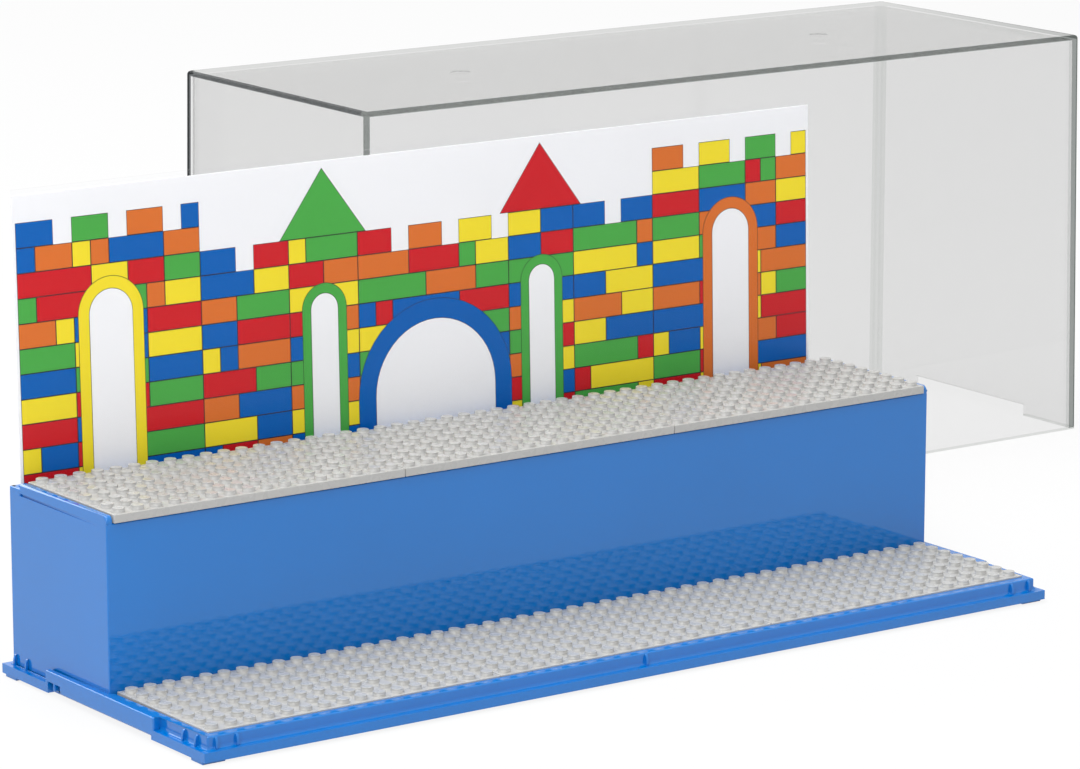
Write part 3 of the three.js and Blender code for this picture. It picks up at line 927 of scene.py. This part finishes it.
def build_stud_plate(name, length, depth, thickness, settings, material):
    """A plate about its own centre: round studs above, ribs and pockets below."""
    bm = bmesh.new()
    weights = bm.edges.layers.float.new("bevel_weight_edge")
    half_x = length / 2
    half_y = depth / 2
    xs = grid_lines(half_x, STUD_COLUMNS)
    ys = grid_lines(half_y, STUD_ROWS)
    corners = [[bm.verts.new((x, y, thickness)) for y in ys] for x in xs]
    for i in range(STUD_COLUMNS):
        for j in range(STUD_ROWS):
            square = (corners[i + 1][j + 1], corners[i][j + 1],
                      corners[i][j], corners[i + 1][j])
            x = (i - (STUD_COLUMNS - 1) / 2) * STUD_PITCH
            y = (j - (STUD_ROWS - 1) / 2) * STUD_PITCH
            add_stud(bm, square, x, y, thickness, settings)

    rib_xs = pocket_lines(half_x, POCKET_COLUMNS)
    rib_ys = pocket_lines(half_y, POCKET_ROWS)
    below = add_underside(bm, rib_xs, rib_ys, 0, thickness - PLATE_SKIN)
    last_x = len(rib_xs) - 1
    last_y = len(rib_ys) - 1
    walls = (
        ([corners[i][0] for i in range(STUD_COLUMNS, -1, -1)],
         [below[i, 0, 0] for i in range(last_x + 1)]),
        ([corners[STUD_COLUMNS][j] for j in range(STUD_ROWS, -1, -1)],
         [below[last_x, j, 0] for j in range(last_y + 1)]),
        ([corners[i][STUD_ROWS] for i in range(STUD_COLUMNS + 1)],
         [below[i, last_y, 0] for i in range(last_x, -1, -1)]),
        ([corners[0][j] for j in range(STUD_ROWS + 1)],
         [below[0, j, 0] for j in range(last_y, -1, -1)]),
    )
    for upper, lower in walls:
        wall = bm.faces.new((*upper, *lower))
        for edge in wall.edges:
            edge[weights] = 1
    bmesh.ops.recalc_face_normals(bm, faces=bm.faces)
    for face in bm.faces:
        face.smooth = True
    piece = link_mesh(name, bm, [material])
    bevel = piece.modifiers.new("Round plate edges", "BEVEL")
    bevel.width = settings.edge_radius
    bevel.segments = PLATE_ROUND_SEGMENTS
    bevel.limit_method = "WEIGHT"
    weight_normals(piece, keep_sharp=False)
    return piece


# Backdrop print: a castle of plain blocks

SHEET_THICKNESS = 0.5 * MM
CARD_FRONT = 0.8 * MM
COURSE_HEIGHT = 9.6 * MM
BLOCK_UNIT = 8 * MM
PRINT_UNITS = 47
PRINT_BOTTOM = 3 * MM
PRINT_SEED = 11
INK_STEP = 0.02 * MM
INKS = ("yellow", "blue", "red", "green", "orange")
OUTLINE_INK = len(INKS)
BARE_CARD = len(INKS) + 1
RING_LAYER = 2
OPENING_LAYER = 4
BLOCK_LENGTHS = (1, 2, 2, 3, 3, 4)
LONGEST_BLOCK = max(BLOCK_LENGTHS)
MERLON_PITCH = 3
MERLON_LENGTH = 2
ROOF_COURSES = 2.8
ROOF_OVERHANG = 0.5
# Each part of the skyline: first unit, units across, courses, what stands on top
SKYLINE = (
    (0, 10, 13, "merlons"),
    (10, 5, 11, "merlons"),
    (15, 4, 12, "roof"),
    (19, 9, 11, "merlons"),
    (28, 4, 12, "roof"),
    (32, 5, 11, "merlons"),
    (37, 10, 13, "merlons"),
)
# Each opening: middle in units, springing in courses, radius in units, ring in units
OPENINGS = (
    (23.5, 5, 3.6, 1.0),
    (5, 10, 1.2, 0.6),
    (42, 10, 1.2, 0.6),
    (17, 9, 0.8, 0.5),
    (30, 9, 0.8, 0.5),
)
ARCH_SIDES = 24


def inset_outline(points, distance):
    """A convex outline that runs anticlockwise, moved inwards by distance."""
    moved = []
    count = len(points)
    for i in range(count):
        before, here, after = points[i - 1], points[i], points[(i + 1) % count]
        first = (here - before).normalized()
        second = (after - here).normalized()
        inward = Vector((-first.y, first.x)) + Vector((-second.y, second.x))
        inward.normalize()
        lean = inward.dot(Vector((-first.y, first.x)))
        moved.append(here + inward * (distance / lean))
    return moved


def make_print(settings, card_front, matrix, materials):
    """Flat blocks and arches just in front of the card, in units across and courses up."""
    bm = bmesh.new()
    shuffle = random.Random(PRINT_SEED)
    line = settings.outline_width

    def put(points, ink, layer):
        depth = card_front - INK_STEP * (layer + 1)
        verts = [bm.verts.new(matrix @ Vector((p.x, depth, p.y))) for p in points]
        face = bm.faces.new(verts)
        face.material_index = ink

    def put_shape(points, ink, layer):
        put(points, OUTLINE_INK, layer)
        put(inset_outline(points, line), ink, layer + 1)

    def at(unit, course):
        return Vector(((unit - PRINT_UNITS / 2) * BLOCK_UNIT,
                       PRINT_BOTTOM + course * COURSE_HEIGHT))

    def put_block(unit, course, across, ink):
        a = at(unit, course)
        b = at(unit + across, course + 1)
        put_shape([a, Vector((b.x, a.y)), b, Vector((a.x, b.y))], ink, 0)

    def put_arch(middle, spring, radius, ink, layer):
        centre = at(middle, spring)
        foot = at(middle, 0).y
        reach = radius * BLOCK_UNIT
        points = [Vector((centre.x - reach, foot)), Vector((centre.x + reach, foot))]
        for step in range(ARCH_SIDES + 1):
            angle = math.pi * step / ARCH_SIDES
            points.append(centre + reach * Vector((math.cos(angle), math.sin(angle))))
        put_shape(points, ink, layer)

    below = {}
    for first, across, courses, top in SKYLINE:
        for course in range(courses):
            unit = 0
            last = None
            while unit < across:
                room = across - unit
                size = min(shuffle.choice(BLOCK_LENGTHS), room)
                if room - size == 1 and size < LONGEST_BLOCK:
                    size += 1
                choices = [k for k in range(len(INKS))
                           if k != last and k != below.get(first + unit)]
                ink = shuffle.choice(choices)
                put_block(first + unit, course, size, ink)
                for step in range(size):
                    below[first + unit + step] = ink
                last = ink
                unit += size
        if top == "merlons":
            for step in range(0, across, MERLON_PITCH):
                size = min(MERLON_LENGTH, across - step)
                put_block(first + step, courses, size, shuffle.randrange(len(INKS)))
        else:
            left = at(first - ROOF_OVERHANG, courses)
            right = at(first + across + ROOF_OVERHANG, courses)
            peak = at(first + across / 2, courses + ROOF_COURSES)
            put_shape([left, right, peak], shuffle.randrange(len(INKS)), 0)

    for middle, spring, radius, ring in OPENINGS:
        put_arch(middle, spring, radius + ring, shuffle.randrange(len(INKS)), RING_LAYER)
        put_arch(middle, spring, radius, BARE_CARD, OPENING_LAYER)
    return link_mesh("backdrop_print", bm, materials)


# Stage

WHITE = (1, 1, 1, 1)
FLOOR_REACH = 12
FLOOR_GREY = (0.7, 0.7, 0.7, 1)
FLOOR_GLOW_SHARE = 0.88
# Each lamp: its setting, place and two lengths in metres
LAMPS = {
    "key_light": ("key_power", (-1.45, -1.25, 1.2), (1.2, 1.2)),
    "top_light": ("top_power", (-0.3, 0.1, 1.8), (2.0, 1.5)),
    "back_light": ("back_power", (0, 2.4, 1.7), (2.2, 0.8)),
}
CAMERA_PLACE = (-1.16323, -1.59511, 0.49783)
CAMERA_TURN = math.radians(-35.4534)
CAMERA_TILT = math.radians(90 - 12.2564)
CAMERA_ROLL = math.radians(0.0535)
CAMERA_SHIFT_X = -0.001214
CAMERA_SHIFT_Y = -0.00423
CAMERA_REACH = 100
SENSOR_WIDTH = 36


# Operators

class BLOCKCASE_OT_stage(bpy.types.Operator):
    """Adds the pale floor, the soft studio light and the camera"""
    bl_idname = "block_case.stage"
    bl_label = "Add Stage"

    def execute(self, context):
        settings = context.scene.block_case_stage
        context.scene.view_settings.view_transform = "Standard"
        self.add_world(context, settings)
        self.add_floor()
        self.add_lights(settings)
        self.add_camera(context, settings)
        return {"FINISHED"}

    def add_world(self, context, settings):
        world = bpy.data.worlds.new("Pale studio")
        context.scene.world = world
        world.use_nodes = True
        tree = world.node_tree
        tree.nodes.clear()
        lit = add_node(tree, "ShaderNodeBackground")
        lit.inputs["Color"].default_value = WHITE
        lit.inputs["Strength"].default_value = settings.ambient
        seen = add_node(tree, "ShaderNodeBackground")
        seen.inputs["Color"].default_value = WHITE
        seen.inputs["Strength"].default_value = 1
        output = add_node(tree, "ShaderNodeOutputWorld")
        link_mix(tree, seen_by_eye(tree), lit, seen, output)

    def add_floor(self):
        material, tree, output = start_material("Pale floor")
        lit = add_node(tree, "ShaderNodeBsdfDiffuse")
        lit.inputs["Color"].default_value = FLOOR_GREY
        seen = add_node(tree, "ShaderNodeEmission")
        seen.inputs["Color"].default_value = WHITE
        seen.inputs["Strength"].default_value = 1
        share = add_math(tree, "MULTIPLY", seen_by_eye(tree), FLOOR_GLOW_SHARE)
        link_mix(tree, share, lit, seen, output)
        bm = bmesh.new()
        corners = rectangle(-FLOOR_REACH, FLOOR_REACH, -FLOOR_REACH, FLOOR_REACH)
        bm.faces.new([bm.verts.new((x, y, 0)) for x, y in corners])
        link_mesh("studio_floor", bm, [material])

    def add_lights(self, settings):
        for name, (setting, place, lengths) in LAMPS.items():
            lamp = bpy.data.lights.new(name, "AREA")
            lamp.shape = "RECTANGLE"
            lamp.size, lamp.size_y = lengths
            lamp.energy = getattr(settings, setting)
            holder = bpy.data.objects.new(name, lamp)
            holder.location = place
            aim = -Vector(place)
            holder.rotation_euler = aim.to_track_quat("-Z", "Y").to_euler()
            bpy.context.scene.collection.objects.link(holder)

    def add_camera(self, context, settings):
        camera = bpy.data.cameras.new("camera")
        camera.sensor_width = SENSOR_WIDTH
        camera.lens = settings.lens
        camera.shift_x = CAMERA_SHIFT_X
        camera.shift_y = CAMERA_SHIFT_Y
        camera.clip_end = CAMERA_REACH
        holder = bpy.data.objects.new("camera", camera)
        holder.matrix_world = (Matrix.Translation(CAMERA_PLACE)
                               @ Matrix.Rotation(CAMERA_TURN, 4, "Z")
                               @ Matrix.Rotation(CAMERA_TILT, 4, "X")
                               @ Matrix.Rotation(CAMERA_ROLL, 4, "Z"))
        context.scene.collection.objects.link(holder)
        context.scene.camera = holder


class BLOCKCASE_OT_mouldings(bpy.types.Operator):
    """Rounds and finishes the blue tray and the riser box"""
    bl_idname = "block_case.mouldings"
    bl_label = "Finish Blue Mouldings"

    def execute(self, context):
        settings = context.scene.block_case_blue
        material = make_plastic(
            "Blue moulded plastic", tuple(settings.colour), settings.roughness,
            coat=0.3, spread=0.03, bumps=[(24, 0.008 * MM), (260, 0.0002 * MM)])
        low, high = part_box("base_tray")
        tray = build_tray("base_tray_moulded", low, high, settings.tray_edge_radius, material)
        tray.location = ((low.x + high.x) / 2, (low.y + high.y) / 2, 0)
        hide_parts("base_tray")
        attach(tray, "base")
        low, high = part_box("riser_box")
        riser = build_riser("riser_box_moulded", low, high, settings.edge_radius, material)
        riser.location = ((low.x + high.x) / 2, low.y, 0)
        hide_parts("riser_box")
        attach(riser, "base")
        return {"FINISHED"}


class BLOCKCASE_OT_stud_plates(bpy.types.Operator):
    """Builds the six stud plates with round studs in place of the plain ones"""
    bl_idname = "block_case.stud_plates"
    bl_label = "Build Stud Plates"

    def execute(self, context):
        settings = context.scene.block_case_plates
        material = make_plastic(
            "Grey moulded plastic", tuple(settings.colour), roughness=0.28,
            coat=0.0, spread=0.02, bumps=[(60, 0.008 * MM), (700, 0.002 * MM)])
        for name in PLATE_NAMES:
            low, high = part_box(name)
            thickness = high.z - low.z - settings.stud_height
            piece = build_stud_plate(
                f"{name}_round", high.x - low.x, high.y - low.y, thickness,
                settings, material)
            piece.location = ((low.x + high.x) / 2, (low.y + high.y) / 2, low.z)
            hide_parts(name)
            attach(piece, PLATE_BODIES.get(name, "base"))
        return {"FINISHED"}


class BLOCKCASE_OT_backdrop(bpy.types.Operator):
    """Finishes the card and its clear sheet and prints the block castle on the card"""
    bl_idname = "block_case.backdrop"
    bl_label = "Finish Backdrop"

    def execute(self, context):
        settings = context.scene.block_case_backdrop
        set_material(frame["nodes"]["backdrop_sheet"], make_clear(
            "Clear sheet", tint=(0.995, 0.996, 0.998), grazing_tint=(0.95, 0.96, 0.97),
            roughness=0.05, least_mirror=0.006))
        paper = {"coat": 0.0, "bumps": [(300, 0.0008 * MM)], "ior": 1.2}
        bare = make_plastic("White card", tuple(settings.card_colour),
                            roughness=0.4, spread=0.01, **paper)
        set_material(frame["nodes"]["backdrop_card"], bare)
        materials = [make_plastic(f"Ink {ink}", tuple(getattr(settings, ink)),
                                  roughness=0.35, spread=0.03, **paper) for ink in INKS]
        materials.append(make_plastic("Ink outline", (0.03, 0.025, 0.03),
                                      roughness=0.4, spread=0.1, **paper))
        materials.append(bare)

        axis = Vector(BACKDROP_LIFT["axis"])
        lean = math.atan2(axis.y, axis.z)
        low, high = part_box("backdrop_sheet")
        foot = low.z + SHEET_THICKNESS * math.sin(lean)
        matrix = (Matrix.Translation(((low.x + high.x) / 2, low.y, foot))
                  @ Matrix.Rotation(-lean, 4, "X"))
        piece = make_print(settings, CARD_FRONT, matrix, materials)
        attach(piece, "backdrop")
        return {"FINISHED"}


class BLOCKCASE_OT_cover(bpy.types.Operator):
    """Finishes the clear cover"""
    bl_idname = "block_case.cover"
    bl_label = "Finish Cover"

    def execute(self, context):
        settings = context.scene.block_case_cover
        low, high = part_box("clear_cover")
        set_material(frame["nodes"]["clear_cover"], make_clear(
            "Clear cover plastic", tuple(settings.wall_tint), grazing_tint=(0.78, 0.78, 0.77),
            roughness=0.03, least_mirror=0.04,
            # The left, front and back edge colours are painted shade on the cover's rounded edges
            painted_edge_shades=[tuple(tint) for tint in (
                settings.left_edge_painted_shade, settings.front_edge_painted_shade, settings.back_edge_painted_shade)],
            edge_box=(low, high, COVER_DRAFT, COVER_WALL)))
        return {"FINISHED"}


class BLOCKCASE_PT_panel(bpy.types.Panel):
    """Lists the steps that dress the case, with their sizes and colours"""
    bl_label = "Block Case"
    bl_idname = "BLOCKCASE_PT_panel"
    bl_space_type = "VIEW_3D"
    bl_region_type = "UI"
    bl_category = "Block Case"

    def draw(self, context):
        for operator, holder, kind in STEPS:
            box = self.layout.box()
            settings = getattr(context.scene, holder)
            for name in settings.__annotations__:
                box.prop(settings, name)
            box.operator(operator.bl_idname)


# Each step: its operator, the scene's name for its settings and their kind
STEPS = (
    (BLOCKCASE_OT_stage, "block_case_stage", StageSettings),
    (BLOCKCASE_OT_mouldings, "block_case_blue", BlueMouldingSettings),
    (BLOCKCASE_OT_stud_plates, "block_case_plates", StudPlateSettings),
    (BLOCKCASE_OT_backdrop, "block_case_backdrop", BackdropSettings),
    (BLOCKCASE_OT_cover, "block_case_cover", CoverSettings),
)


def register():
    for operator, holder, kind in STEPS:
        bpy.utils.register_class(kind)
        setattr(bpy.types.Scene, holder, bpy.props.PointerProperty(type=kind))
        bpy.utils.register_class(operator)
    bpy.utils.register_class(BLOCKCASE_PT_panel)


def unregister():
    bpy.utils.unregister_class(BLOCKCASE_PT_panel)
    for operator, holder, kind in reversed(STEPS):
        bpy.utils.unregister_class(operator)
        delattr(bpy.types.Scene, holder)
        bpy.utils.unregister_class(kind)


def main():
    register()
    bpy.ops.block_case.stage()
    bpy.ops.block_case.mouldings()
    bpy.ops.block_case.stud_plates()
    bpy.ops.block_case.backdrop()
    bpy.ops.block_case.cover()


if __name__ == "__main__":
    main()
